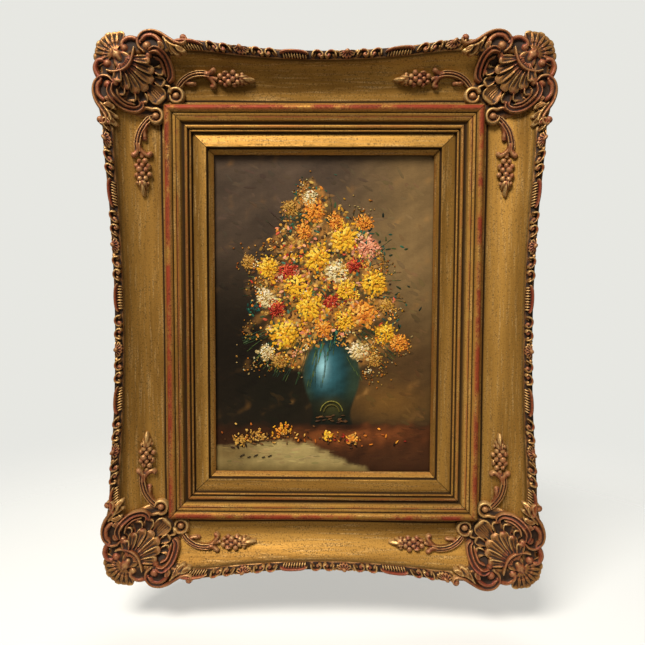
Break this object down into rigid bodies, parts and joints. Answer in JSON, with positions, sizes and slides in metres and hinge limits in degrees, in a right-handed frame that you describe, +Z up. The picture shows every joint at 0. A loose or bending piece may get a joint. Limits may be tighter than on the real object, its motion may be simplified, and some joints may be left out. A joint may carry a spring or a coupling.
{
  "type": "framed_oil_painting",
  "caption": "Small still life of flowers in a vase, painted in oils, in a swept gilt frame with carved corner shells, for hanging on a wall",
  "frame": {"origin": "the hanging point, on the flat back of the top rail above the picture's middle", "axes": "+Z up, +X to the viewer's right, +Y out of the back toward the wall; the picture faces -Y"},
  "size_m": [0.3932, 0.0496, 0.4834],
  "materials": {
    "gilt": "carved and moulded wood under antique gold leaf, red bole rubbed through on the high edges, brown patina in the recesses",
    "paint": "oil paint on a board, satin varnish over raised strokes"
  },
  "bodies": {
    "root": {"corner_ornament_bottom_left": "gilt", "corner_ornament_bottom_right": "gilt", "corner_ornament_top_left": "gilt", "corner_ornament_top_right": "gilt", "edge_carving_bottom": "gilt", "edge_carving_left": "gilt", "edge_carving_right": "gilt", "edge_carving_top": "gilt", "inner_rail_bottom": "gilt", "inner_rail_left": "gilt", "inner_rail_right": "gilt", "inner_rail_top": "gilt", "outer_rail_bottom": "gilt", "outer_rail_left": "gilt", "outer_rail_right": "gilt", "outer_rail_top": "gilt", "painted_board": "paint", "sprig_bottom_rail_left": "gilt", "sprig_bottom_rail_right": "gilt", "sprig_left_rail_bottom": "gilt", "sprig_left_rail_top": "gilt", "sprig_right_rail_bottom": "gilt", "sprig_right_rail_top": "gilt", "sprig_top_rail_left": "gilt", "sprig_top_rail_right": "gilt"}
  },
  "joints": []
}
